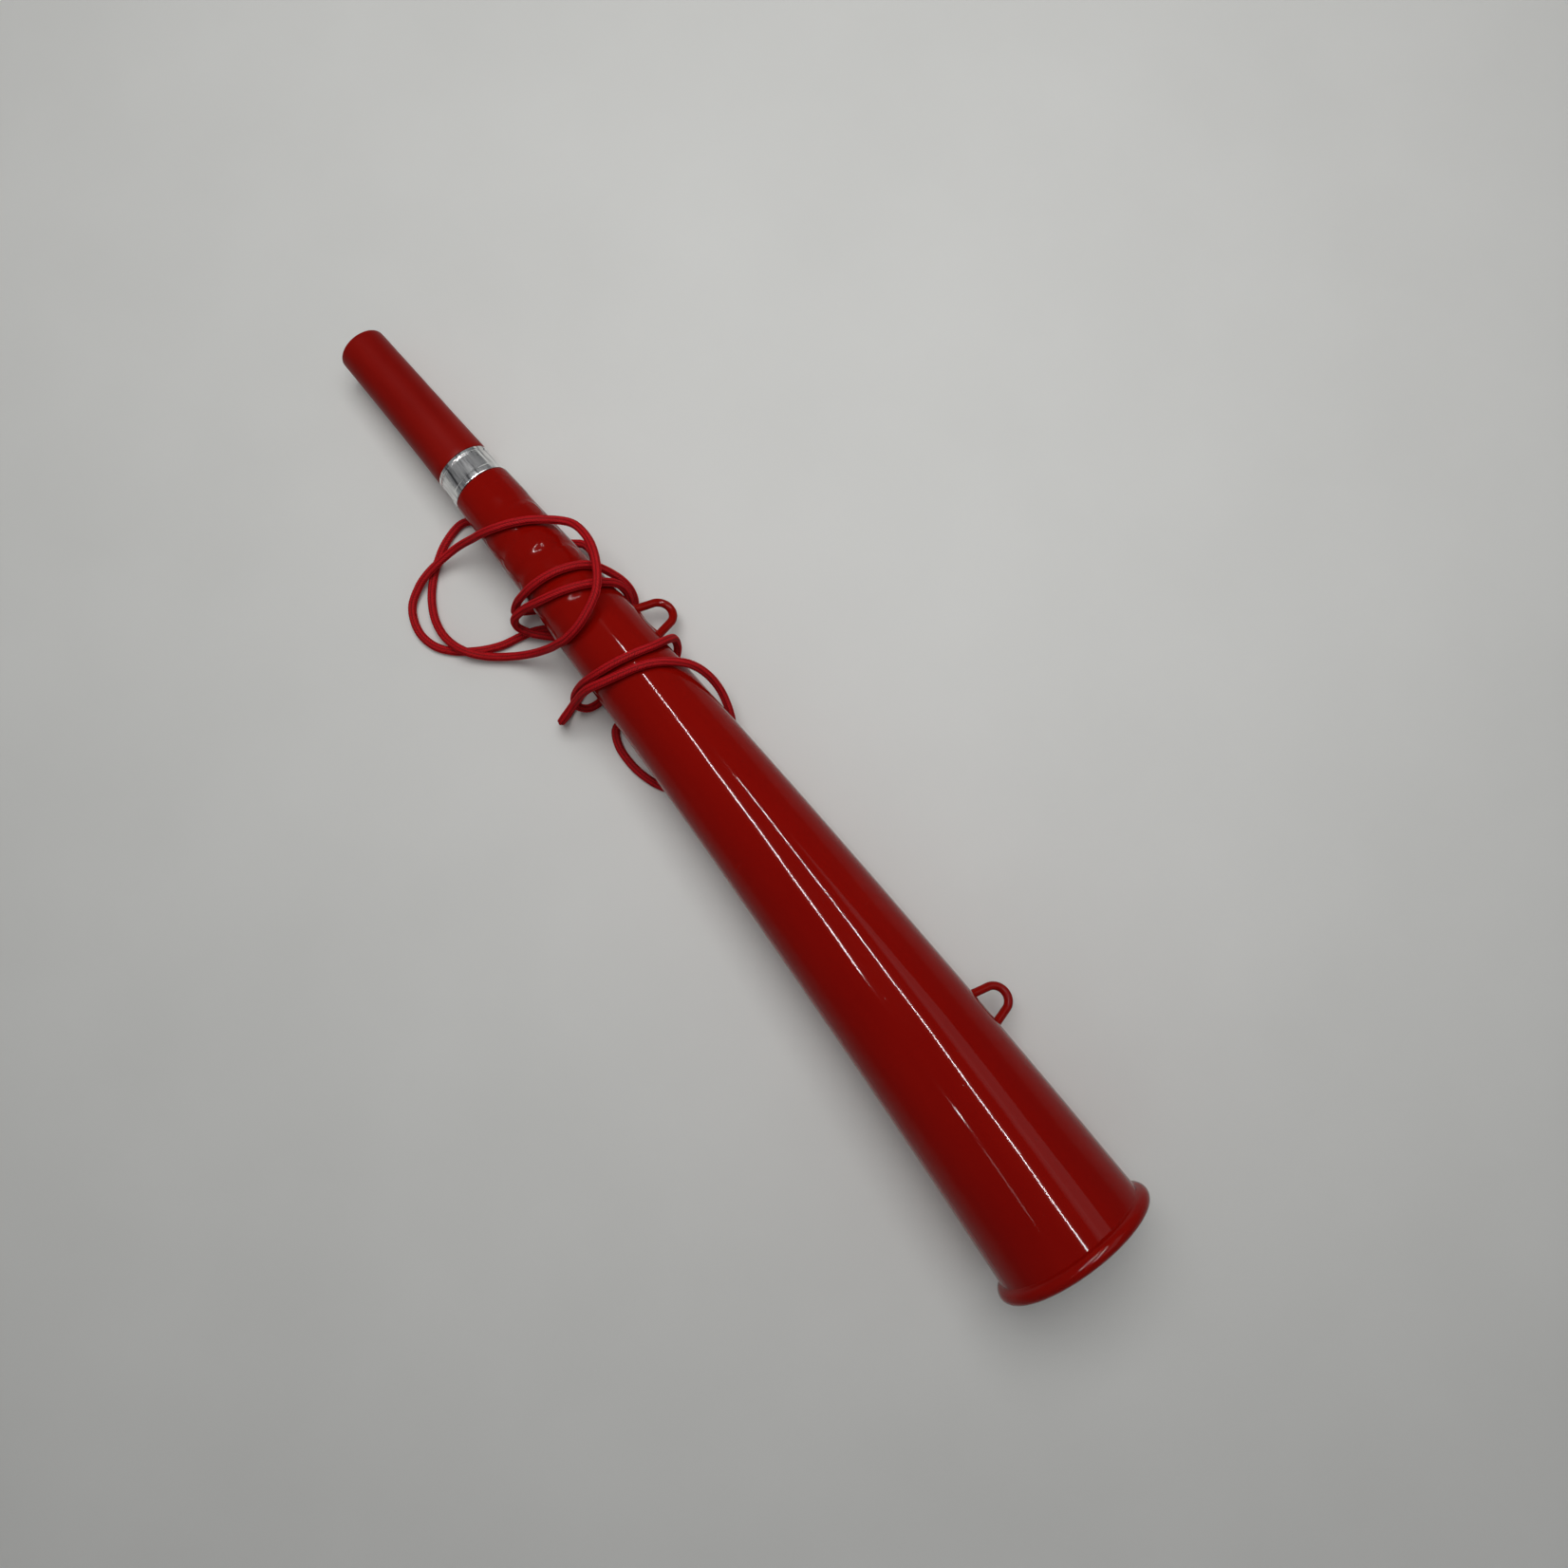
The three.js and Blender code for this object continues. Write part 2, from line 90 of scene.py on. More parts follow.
def to_frame(points):
    """Points of the straight horn, rows of x, y, z, carried onto its bowed and tilted axis."""
    points = np.asarray(points, float)
    turn = (points[..., 0] - LENGTH / 2) / BOW_RADIUS
    reach = BOW_RADIUS + points[..., 1]
    x = LENGTH / 2 + reach * np.sin(turn)
    y = reach * np.cos(turn) - BOW_RADIUS + BOW
    z = points[..., 2]
    tilted = [x * np.cos(TILT) - z * np.sin(TILT), y, x * np.sin(TILT) + z * np.cos(TILT)]
    return np.stack(tilted, axis=-1) + np.array([0, 0, AXIS_HEIGHT]) - ORIGIN


def outline_radius(outline, station):
    rows = np.array(outline)
    return np.interp(station, rows[:, 0], rows[:, 1])


# ---- Camera ----
camera_data = bpy.data.cameras.new("camera")
camera_data.lens = 28.13
camera_data.sensor_width = 36.0
camera_data.clip_start = 0.01
camera = bpy.data.objects.new("camera", camera_data)
scene.collection.objects.link(camera)
CAMERA_PLACE = (0.09206, 0.00296, 0.66904)
CAMERA_RIGHT = (0.6234648, 0.7813149, -0.0289778)
CAMERA_DOWN = (0.776482, -0.6230937, -0.0939736)
CAMERA_AHEAD = (-0.0914788, 0.0360885, -0.9951529)
camera.matrix_world = Matrix.Translation(CAMERA_PLACE) @ Matrix(
    [[CAMERA_RIGHT[i], -CAMERA_DOWN[i], -CAMERA_AHEAD[i]] for i in range(3)]
).to_4x4()
scene.camera = camera


# ---- Mesh helpers ----
def mesh_object(name, points, faces, sharp_angle=40.0):
    """A smooth-shaded mesh object; edges sharper than sharp_angle degrees stay crisp."""
    mesh = bpy.data.meshes.new(name)
    mesh.from_pydata([tuple(p) for p in points], [], faces)
    mesh.update()
    mesh.polygons.foreach_set("use_smooth", np.ones(len(mesh.polygons), bool))
    mesh.set_sharp_from_angle(angle=np.radians(sharp_angle))
    piece = bpy.data.objects.new(name, mesh)
    scene.collection.objects.link(piece)
    return piece


def quad_grid(rows, columns, close_rows=False, flip=False):
    """Quads of a grid of points whose columns close round; close_rows joins the last row to the first."""
    i = np.arange(rows if close_rows else rows - 1)[:, None]
    j = np.arange(columns)[None, :]
    below, after = (i + 1) % rows, (j + 1) % columns
    quads = [i * columns + j, i * columns + after, below * columns + after, below * columns + j]
    quads = np.stack([np.broadcast_to(q, (len(i), columns)) for q in quads], axis=-1).reshape(-1, 4)
    return (quads[:, ::-1] if flip else quads).tolist()


def arc(x, r, radius, start, end, steps):
    """Rows of (station, radius) along a circular arc; angles in degrees from the +X direction."""
    angles = np.radians(np.linspace(start, end, steps + 1))
    return [(x + radius * np.cos(a), r + radius * np.sin(a)) for a in angles]


def rounded(corners, fillet, steps=4):
    """A closed profile with each corner rounded to about the fillet radius."""
    corners = [np.array(c, float) for c in corners]
    rows = []
    for i, corner in enumerate(corners):
        before, after = corners[i - 1], corners[(i + 1) % len(corners)]
        to_before, to_after = before - corner, after - corner
        reach = min(fillet, 0.45 * np.linalg.norm(to_before), 0.45 * np.linalg.norm(to_after))
        start = corner + to_before / np.linalg.norm(to_before) * reach
        end = corner + to_after / np.linalg.norm(to_after) * reach
        for t in np.linspace(0, 1, steps + 1):
            rows.append(tuple((1 - t) ** 2 * start + 2 * t * (1 - t) * corner + t**2 * end))
    return rows


def turned(name, profile, angles=192, shape=None, sharp_angle=40.0):
    """A closed ring-shaped solid turned about the horn's axis from a closed (station, radius) profile.

    angles is a number of even steps, or the angles themselves from the +Y side towards the top.
    shape(station, radius, angle) may change the radius.
    """
    if isinstance(angles, int):
        angles = np.linspace(0, 2 * np.pi, angles, endpoint=False)
    rows = np.array(profile)
    station, radius, angle = np.broadcast_arrays(rows[:, :1], rows[:, 1:], angles[None, :])
    if shape:
        radius = shape(station, radius, angle)
    points = np.stack([station, radius * np.cos(angle), radius * np.sin(angle)], axis=-1)
    faces = quad_grid(len(rows), len(angles), close_rows=True)
    return mesh_object(name, to_frame(points).reshape(-1, 3), faces, sharp_angle)


# ---- Neck cord ----
def at(x, y, z):
    return np.array([x, y, z])


def over(station, angle, clearance=CORD_CLEARANCE):
    """A point over the barrel: station, angle from the +Y side towards the top, height above the surface."""
    radius = outline_radius(BARREL_OUTLINE, station) + clearance - CORD_SETTLE
    turn = np.radians(angle)
    return to_frame([station, radius * np.cos(turn), radius * np.sin(turn)])


# From the first knot out on the -Y side, round a wide loop over the grip, and a second, inner lap.
LOOP_ROUTE = [
    at(-0.1045, 0.011, 0.0038), at(-0.1059, 0.0036, 0.0026), at(-0.1095, -0.0057, 0.0025),
    at(-0.1154, -0.0158, 0.0024), at(-0.1223, -0.0264, 0.0024), at(-0.1254, -0.0361, 0.0024),
    at(-0.1281, -0.0472, 0.0024), at(-0.1346, -0.0602, 0.0024), at(-0.1434, -0.071, 0.0024),
    at(-0.1519, -0.0768, 0.0024), at(-0.1635, -0.0786, 0.0024), at(-0.1765, -0.0734, 0.0027),
    at(-0.1828, -0.0634, 0.0046), at(-0.1849, -0.0545, 0.0069), at(-0.1851, -0.0431, 0.0098),
    at(-0.1829, -0.0315, 0.0153), over(0.1293, 169, 0.0038), over(0.1342, 142),
    over(0.1395, 114), over(0.1449, 86), over(0.1498, 60, 0.0033), at(-0.1455, 0.0239, 0.0405),
    at(-0.1334, 0.0261, 0.0468), at(-0.1206, 0.024, 0.0537), at(-0.1076, 0.0175, 0.0589),
    at(-0.1003, 0.0108, 0.06), over(0.2127, 100, 0.0072), over(0.2119, 126, 0.0045),
    over(0.2085, 148, 0.0033), at(-0.1032, -0.0268, 0.0255), at(-0.1108, -0.0367, 0.0129),
    at(-0.1187, -0.0468, 0.0066), at(-0.1274, -0.0571, 0.0057), at(-0.1364, -0.0644, 0.0073),
    at(-0.1486, -0.0685, 0.0061), at(-0.1613, -0.0677, 0.0036), at(-0.1721, -0.0629, 0.0026),
    at(-0.1796, -0.057, 0.0024), at(-0.1872, -0.0483, 0.0024), at(-0.1946, -0.0359, 0.0024),
    at(-0.1975, -0.0225, 0.0024), at(-0.1935, -0.0155, 0.0025), at(-0.1818, -0.0061, 0.0025),
    at(-0.1705, 0.0011, 0.0025),
]

# Two turns in front of the upper lug, then one behind it.
TURNS_ROUTE = [
    at(-0.1593, 0.0087, 0.003), at(-0.1498, 0.0171, 0.0052), at(-0.142, 0.0237, 0.0082),
    at(-0.1347, 0.0238, 0.0081), at(-0.1294, 0.0192, 0.006), at(-0.1272, 0.0099, 0.0035),
    at(-0.1264, 0.0001, 0.0026), at(-0.1275, -0.0099, 0.0031), at(-0.1307, -0.0197, 0.0054),
    at(-0.1335, -0.0268, 0.0108), at(-0.133, -0.029, 0.0178), at(-0.1328, -0.0245, 0.0282),
    over(0.1756, 146), over(0.1776, 122), over(0.1796, 98), over(0.1822, 74), over(0.1852, 50),
    over(0.1888, 29), at(-0.1069, 0.0273, 0.0245), at(-0.1003, 0.0268, 0.0128),
    at(-0.0968, 0.0233, 0.0072), at(-0.0964, 0.0159, 0.0038), at(-0.0982, 0.0061, 0.0026),
    at(-0.1012, -0.0038, 0.0027), at(-0.1064, -0.0137, 0.0044), at(-0.1133, -0.0224, 0.0072),
    at(-0.1206, -0.0294, 0.0093), at(-0.1266, -0.0331, 0.0139), at(-0.1282, -0.0311, 0.0238),
    at(-0.126, -0.024, 0.0331), over(0.1835, 142), over(0.1878, 118), over(0.1915, 94),
    over(0.1953, 70), over(0.1987, 46), over(0.2011, 24), over(0.2041, 0),
    at(-0.0972, 0.023, 0.016), at(-0.0931, 0.0199, 0.0106), at(-0.0882, 0.0146, 0.0063),
    at(-0.0818, 0.006, 0.0029), at(-0.0752, -0.0041, 0.0025), at(-0.0706, -0.0141, 0.0026),
    at(-0.0684, -0.0241, 0.0025), at(-0.0694, -0.0311, 0.0044), at(-0.073, -0.0347, 0.0099),
    at(-0.0753, -0.0328, 0.0167), at(-0.0754, -0.0297, 0.0237), over(0.2317, 168, 0.0036),
    over(0.2345, 144), over(0.2374, 120), over(0.24, 96), over(0.2423, 74), over(0.2438, 52),
    over(0.2431, 28), at(-0.0655, 0.0294, 0.0207), at(-0.0626, 0.0277, 0.0117),
    at(-0.059, 0.0211, 0.0057), at(-0.0552, 0.0114, 0.0031), at(-0.0519, 0.0001, 0.0024),
]

# A bow out on the -Y side, one last turn over the barrel, and back under itself to the second knot.
TAIL_ROUTE = [
    at(-0.0512, -0.01, 0.0025), at(-0.0524, -0.0191, 0.0025), at(-0.0508, -0.0263, 0.0024),
    at(-0.0429, -0.0306, 0.0024), at(-0.032, -0.0316, 0.0024), at(-0.0222, -0.0304, 0.0024),
    at(-0.0132, -0.0275, 0.0024), at(-0.0067, -0.0236, 0.0025), at(-0.0008, -0.0137, 0.0025),
    at(0.0012, -0.0021, 0.0024), at(-0.002, 0.0089, 0.003), at(-0.0071, 0.0186, 0.0055),
    at(-0.0115, 0.0248, 0.01), at(-0.0169, 0.0282, 0.0157), at(-0.0282, 0.0313, 0.0254),
    at(-0.0379, 0.0303, 0.0358), at(-0.0457, 0.0257, 0.0446), over(0.2529, 60), over(0.2491, 82),
    over(0.246, 104, 0.0034), over(0.2428, 124, 0.0048), over(0.2393, 143, 0.0067),
    at(-0.0708, -0.033, 0.0266), at(-0.0708, -0.0399, 0.0195), at(-0.0707, -0.0456, 0.0136),
    at(-0.0721, -0.0458, 0.0073), at(-0.0743, -0.0417, 0.0025), at(-0.077, -0.0347, 0.0024),
    at(-0.0796, -0.0276, 0.0026), at(-0.0825, -0.022, 0.003),
]

CORD_STEP = 0.00027  # spacing of the cord mesh's rings
CORD_SIDES = 48
BRAID_COLUMNS = 6
CREST_RADIUS = 0.00236  # the tops of the stitches
LIFT_OVER_FLOOR = 0.00002
STITCH_PITCH = 0.0015
STITCH_DEPTH = 0.00042
STITCH_SLANT = 1.35
SETTLE_RATE = 0.02  # how fast the braid turns level, for each ring of the mesh


def smooth_line(route, steps=14):
    """Points along the centripetal Catmull-Rom curve through a route."""
    ends = [2 * route[0] - route[1], *route, 2 * route[-1] - route[-2]]
    line = []
    for p0, p1, p2, p3 in zip(ends[:-3], ends[1:-2], ends[2:-1], ends[3:]):
        gaps = [np.sqrt(np.linalg.norm(b - a)) for a, b in ((p0, p1), (p1, p2), (p2, p3))]
        t0, t1, t2, t3 = np.cumsum([0, *gaps])
        t = np.linspace(t1, t2, steps, endpoint=False)[:, None]
        a1 = ((t1 - t) * p0 + (t - t0) * p1) / (t1 - t0)
        a2 = ((t2 - t) * p1 + (t - t1) * p2) / (t2 - t1)
        a3 = ((t3 - t) * p2 + (t - t2) * p3) / (t3 - t2)
        b1 = ((t2 - t) * a1 + (t - t0) * a2) / (t2 - t0)
        b2 = ((t3 - t) * a2 + (t - t1) * a3) / (t3 - t1)
        line.append(((t2 - t) * b1 + (t - t1) * b2) / (t2 - t1))
    return np.vstack([*line, route[-1]])


def evenly_spaced(line, step):
    along = np.concatenate([[0], np.cumsum(np.linalg.norm(np.diff(line, axis=0), axis=1))])
    places = np.linspace(0, along[-1], int(round(along[-1] / step)) + 1)
    return np.stack([np.interp(places, along, line[:, k]) for k in range(3)], axis=1), places


def turning_frames(line):
    """Two unit vectors across the line at each point; the first one settles level where the line is level."""
    tangents = np.gradient(line, axis=0)
    tangents /= np.linalg.norm(tangents, axis=1, keepdims=True)
    levels = np.cross(tangents, [0, 0, 1.0])
    sides = np.zeros_like(line)
    side = levels[0]
    for i, tangent in enumerate(tangents):
        side = side + SETTLE_RATE * np.sign(side.dot(levels[i])) * levels[i]
        side = side - side.dot(tangent) * tangent
        side /= np.linalg.norm(side)
        sides[i] = side
    return sides, np.cross(tangents, sides)


def braided_tube(name, line, places):
    """A round braided cord round a centre line: slanted stitches in columns, alternately left and right."""
    across, up = turning_frames(line)
    angle = np.linspace(0, 2 * np.pi, CORD_SIDES, endpoint=False)[None, :]
    column = angle / (2 * np.pi) * BRAID_COLUMNS
    in_column = column % 1
    slant = np.where(column.astype(int) % 2 == 0, 1, -1)
    fibre = places[:, None] / STITCH_PITCH + slant * (in_column - 0.5) * STITCH_SLANT
    in_stitch = fibre % 1
    relief = (1 - np.abs(2 * in_column - 1) ** 2.6) * (1 - np.abs(2 * in_stitch - 1) ** 1.8)
    relief = np.sqrt(np.clip(relief, 0, 1))
    radius = (CREST_RADIUS - STITCH_DEPTH * (1 - relief))[..., None]
    rings = np.cos(angle)[..., None] * up[:, None] - np.sin(angle)[..., None] * across[:, None]
    points = (line[:, None] + radius * rings).reshape(-1, 3)
    faces = quad_grid(len(line), CORD_SIDES)
    last = (len(line) - 1) * CORD_SIDES
    faces += [list(range(CORD_SIDES))[::-1], list(range(last, last + CORD_SIDES))]
    tube = mesh_object(name, points, faces, sharp_angle=120.0)
    # relief also sets the braid's painted groove shade and painted crest highlight in braid_material
    for attribute, values in (("relief", relief), ("fibre", fibre)):
        layer = tube.data.attributes.new(attribute, "FLOAT", "POINT")
        layer.data.foreach_set("value", values.astype(np.float32).ravel())
    return tube


centre_line = smooth_line([*LOOP_ROUTE, *TURNS_ROUTE, *TAIL_ROUTE])
centre_line[:, 2] = np.maximum(centre_line[:, 2], CREST_RADIUS + LIFT_OVER_FLOOR)
cord_line, cord_places = evenly_spaced(centre_line, CORD_STEP)
cord = braided_tube("neck_cord", cord_line, cord_places)


def stopper_knot(name, centre, turn):
    """A small overhand knot pulled tight: a trefoil of cord, flattened a little."""
    t = np.linspace(0, 2 * np.pi, 400)
    wide, fat = 0.00135, 0.00112
    line = np.stack(
        [
            wide * (np.sin(t) + 1.35 * np.sin(2 * t)),
            wide * (np.cos(t) - 1.35 * np.cos(2 * t)),
            -fat * 1.25 * np.sin(3 * t),
        ],
        axis=1,
    )
    turned_line = np.stack(
        [
            line[:, 0] * np.cos(turn) - line[:, 1] * np.sin(turn),
            line[:, 0] * np.sin(turn) + line[:, 1] * np.cos(turn),
            line[:, 2],
        ],
        axis=1,
    )
    even, places = evenly_spaced(turned_line + np.array(centre), CORD_STEP * 0.5)
    return braided_tube(name, even, places)


# ---- Horn pieces ----
def grip_height(station, angle):
    """Height of the finger grip's surface against the plain outline."""
    from_top = np.abs((angle - np.pi / 2 + np.pi) % (2 * np.pi) - np.pi)
    arc_length = from_top * outline_radius(BARREL_OUTLINE, station)
    nearest = np.clip(np.round((station - FIRST_RIDGE) / RIDGE_PITCH), 0, RIDGE_COUNT - 1)
    along = station - FIRST_RIDGE - nearest * RIDGE_PITCH
    beyond = np.maximum(arc_length - RIDGE_REACH, 0)
    pad = smooth_step((RIDGE_HALF_WIDTH - np.hypot(along, beyond)) / RIDGE_FLANK + 0.5)
    return RIDGE_DEPTH * pad


def smooth_step(t):
    t = np.clip(t, 0, 1)
    return t * t * (3 - 2 * t)


RIDGE_DEPTH = 0.0007
RIDGE_HALF_WIDTH = 0.0056
RIDGE_FLANK = 0.0045
RIDGE_REACH = 0.0165
BARREL_SINK = 0.0004  # how far the plain surface lies below the grip's mean
PARTING_HEIGHT = 0.00008
PARTING_WIDTH = 0.00035


def barrel_shape(station, radius, angle):
    """Adds the grip, the mould's parting line and the moulding's slight unevenness to the outer surface."""
    plain = outline_radius(BARREL_OUTLINE, station)
    outer = (radius > plain - 0.0006) & (station > SHOULDER)
    height = np.where(station < 0.215, grip_height(station, angle), 0)
    in_grip = smooth_step((station - 0.124) / 0.008) * smooth_step((0.207 - station) / 0.008)
    height = height - BARREL_SINK * in_grip
    for parting in PARTING_ANGLES:
        off = (angle - np.radians(parting) + np.pi) % (2 * np.pi) - np.pi
        height = height + PARTING_HEIGHT * np.exp(-((off * radius / PARTING_WIDTH) ** 2))
    wave = 0.00004 * np.sin(3 * angle + 1.0) * np.sin(station * 40 + 0.6)
    wave = wave + 0.00002 * np.sin(5 * angle + 2.0) * np.sin(station * 95)
    return radius + np.where(outer, height + wave, 0)


def barrel_angles():
    """Even steps round the barrel, with closer ones over each parting line."""
    even = np.linspace(-np.pi, np.pi, 224, endpoint=False)
    lines = np.radians(PARTING_ANGLES)
    close = np.linspace(-0.03, 0.03, 17)
    far = [a for a in even if np.abs((a - lines + np.pi) % (2 * np.pi) - np.pi).min() > 0.032]
    return np.sort(np.concatenate([far, *(line + close for line in lines)]))


def barrel_profile():
    stations = np.concatenate(
        [
            np.arange(0.1112, 0.124, 0.002),
            np.arange(0.125, 0.2075, 0.0008),
            np.arange(0.210, 0.597, 0.006),
            [0.5985, 0.6005, 0.6013, 0.6018],
        ]
    )
    spread = np.linspace(-0.012, 0.012, 9)
    cone = [(x, outline_radius(BARREL_OUTLINE, x + spread).mean()) for x in stations]
    cone = [(x, r if 0.13 < x < 0.58 else outline_radius(BARREL_OUTLINE, x)) for x, r in cone]
    middle = RIM_RADIUS - RIM_TUBE_RADIUS
    shoulder = arc(SHOULDER + 0.0006, outline_radius(BARREL_OUTLINE, SHOULDER) - 0.0006, 0.0006, 180, 90, 5)
    bead = arc(RIM_CENTRE, middle, RIM_TUBE_RADIUS, 168, 24, 30)
    face = [(LENGTH, middle + REST_FACE / 2 - 0.0004), (LENGTH, middle - REST_FACE / 2 - 0.0002)]
    lip = arc(LENGTH - 0.0009, middle - REST_FACE / 2 - 0.0002, 0.0009, -20, -90, 5)
    inner = [(x, outline_radius(BARREL_OUTLINE, x) - WALL) for x in np.linspace(0.596, 0.127, 60)]
    socket = [(SOCKET_END, SOCKET_RADIUS), (NECK_START, SOCKET_RADIUS), (NECK_START, NECK_RADIUS)]
    return [*socket, (SHOULDER, NECK_RADIUS), *shoulder, *cone, *bead, *face, *lip, *inner]


barrel = turned("barrel", barrel_profile(), barrel_angles(), barrel_shape, sharp_angle=50.0)

MOUTH_LIP = 0.0012
INNER_EDGE = 0.0006  # rounding of the bore's mouth and of the spigot's end
SHOULDER_EDGE = 0.0004  # rounding where the tube steps down to the spigot
TUBE_STEP = 0.004
TUBE_BLEND = np.linspace(-0.008, 0.008, 9)  # the outline's corners are averaged over this stretch


def tube_radius(station):
    return outline_radius(MOUTHPIECE_OUTLINE, station + TUBE_BLEND).mean()


end_radius = MOUTHPIECE_OUTLINE[-1][1]
mouthpiece_profile = [
    *arc(INNER_EDGE, BORE_RADIUS + INNER_EDGE, INNER_EDGE, 270, 180, 4),
    *arc(MOUTH_LIP, MOUTH_RADIUS - MOUTH_LIP, MOUTH_LIP, 180, 92, 8),
    *((x, tube_radius(x)) for x in np.arange(TUBE_STEP, MOUTHPIECE_END - 0.001, TUBE_STEP)),
    *arc(MOUTHPIECE_END - SHOULDER_EDGE, end_radius - SHOULDER_EDGE, SHOULDER_EDGE, 88, 0, 4),
    (MOUTHPIECE_END, SPIGOT_RADIUS),
    *arc(SPIGOT_END - INNER_EDGE, SPIGOT_RADIUS - INNER_EDGE, INNER_EDGE, 90, 0, 4),
    (SPIGOT_END, BORE_RADIUS),
]
mouthpiece = turned("mouthpiece", mouthpiece_profile, 224, sharp_angle=50.0)

ring_profile = rounded(
    [
        (RING_START, RING_INNER_RADIUS),
        (RING_START, 0.01610),
        (0.0944, 0.01618),
        (0.0947, 0.01570),
        (0.0953, 0.01570),
        (0.0956, 0.01592),
        (0.1052, 0.01628),
        (0.1060, 0.01672),
        (0.1086, 0.01682),
        (RING_END, 0.01660),
        (RING_END, RING_INNER_RADIUS),
    ],
    0.00015,
)
ring = turned("chrome_band", ring_profile, 256, sharp_angle=75.0)


def lug(name, station):
    """A D-shaped eye: a rod from foot to foot over an arc; the thin web between its feet comes from lug_web.
    """
    reach = np.hypot(LUG_FOOT_SPREAD, LUG_ARC_HEIGHT)
    start = np.arccos(LUG_ARC_RADIUS / reach) - np.arctan2(LUG_ARC_HEIGHT, LUG_FOOT_SPREAD)
    turn = np.linspace(start, np.pi - start, 40)
    arc_part = np.stack([LUG_ARC_RADIUS * np.cos(turn), LUG_ARC_HEIGHT + LUG_ARC_RADIUS * np.sin(turn)], 1)
    foot = np.array([LUG_FOOT_SPREAD + 0.0009, -0.0012])
    into = np.linspace(0, 1, 16, endpoint=False)[:, None]
    leg = foot + into * (arc_part[0] - foot)
    line = np.vstack([leg, arc_part, (leg * [-1, 1])[::-1]])
    tangent = np.gradient(line, axis=0)
    tangent /= np.linalg.norm(tangent, axis=1, keepdims=True)
    normal = np.stack([tangent[:, 1], -tangent[:, 0]], 1)
    height = np.clip(line[:, 1], 0, None)
    radius = LUG_ROD_RADIUS + 0.0011 * np.exp(-height / 0.0011)
    angle = np.linspace(0, 2 * np.pi, 28, endpoint=False)
    in_plane = line[:, None] + (radius[:, None] * np.cos(angle))[..., None] * normal[:, None]
    side = -radius[:, None] * np.sin(angle)
    rod = np.stack([in_plane[..., 0], side, in_plane[..., 1]], axis=-1)
    faces = quad_grid(len(line), len(angle))
    last = (len(line) - 1) * len(angle)
    faces += [list(range(len(angle)))[::-1], list(range(last, last + len(angle)))]
    tilt = np.radians(LUG_ANGLE)
    out = np.array([0, np.cos(tilt), np.sin(tilt)])
    beside = np.array([0, -np.sin(tilt), np.cos(tilt)])
    base = outline_radius(BARREL_OUTLINE, station)
    slope = (outline_radius(BARREL_OUTLINE, station + 0.01) - base) / 0.01

    def place(points):
        rise = points[..., 2] + base + slope * points[..., 0]
        along = station + points[..., 0]
        flat = rise[..., None] * out + points[..., 1][..., None] * beside
        return to_frame(np.stack([along, flat[..., 1], flat[..., 2]], axis=-1))

    piece = mesh_object(name, place(rod).reshape(-1, 3), faces)
    return piece, place


def lug_web(name, place):
    """The thin wall that closes the foot of a lug, with a hollowed top edge."""
    x = np.linspace(-LUG_FOOT_SPREAD, LUG_FOOT_SPREAD, 33)
    top = 0.0024 + 0.0016 * (x / LUG_FOOT_SPREAD) ** 2
    section = [(-0.0015, -0.0010), (-0.0015, 0.0010)]
    rows = []
    for xi, ti in zip(x, top):
        ring_points = [(h, w) for h, w in section]
        for a in np.linspace(0, np.pi, 9):
            ring_points.append((ti - 0.0010 + 0.0010 * np.sin(a), 0.0010 * np.cos(a)))
        rows.append([(xi, w, h) for h, w in reversed(ring_points)])
    rows = np.array(rows)
    count = rows.shape[1]
    faces = quad_grid(len(x), count)
    last = (len(x) - 1) * count
    faces += [list(range(count))[::-1], list(range(last, last + count))]
    return mesh_object(name, place(rows).reshape(-1, 3), faces)


upper_lug, place_upper = lug("upper_eye", UPPER_LUG)
lower_lug, place_lower = lug("lower_eye", LOWER_LUG)
upper_web = lug_web("upper_eye_web", place_upper)
lower_web = lug_web("lower_eye_web", place_lower)

# ---- Knots ----
knot_a = stopper_knot("knot_start", KNOT_A, 0.4)
knot_b = stopper_knot("knot_end", KNOT_B, 1.3)


# ---- Materials ----
def new_material(name, metallic=0.0):
    """A material and a function that adds a node and links its inputs by name."""
    material = bpy.data.materials.new(name)
    material.use_nodes = True
    tree = material.node_tree
    shader = tree.nodes["Principled BSDF"]
    shader.inputs["Metallic"].default_value = metallic

    def add(kind, links=None, **values):
        node = tree.nodes.new(kind)
        for key, value in values.items():
            if hasattr(node, key):
                setattr(node, key, value)
            else:
                node.inputs[key.replace("_", " ")].default_value = value
        for key, source in (links or {}).items():
            tree.links.new(source, node.inputs[key])
        return node

    return material, shader, add, tree.links.new


def spread_of(add, source, low, high):
    """Maps a 0..1 output onto low..high."""
    node = add("ShaderNodeMapRange", {"Value": source})
    node.inputs["To Min"].default_value = low
    node.inputs["To Max"].default_value = high
    return node.outputs["Result"]


def colours_of(add, source, colours):
    """A colour ramp over a 0..1 output; colours are (place, (r, g, b))."""
    node = add("ShaderNodeValToRGB", {"Fac": source})
    ramp = node.color_ramp
    while len(ramp.elements) < len(colours):
        ramp.elements.new(0.5)
    for element, (place, colour) in zip(ramp.elements, colours):
        element.position = place
        element.color = (*colour, 1)
    return node.outputs["Color"]


LEAN_DEPTH = 0.00022


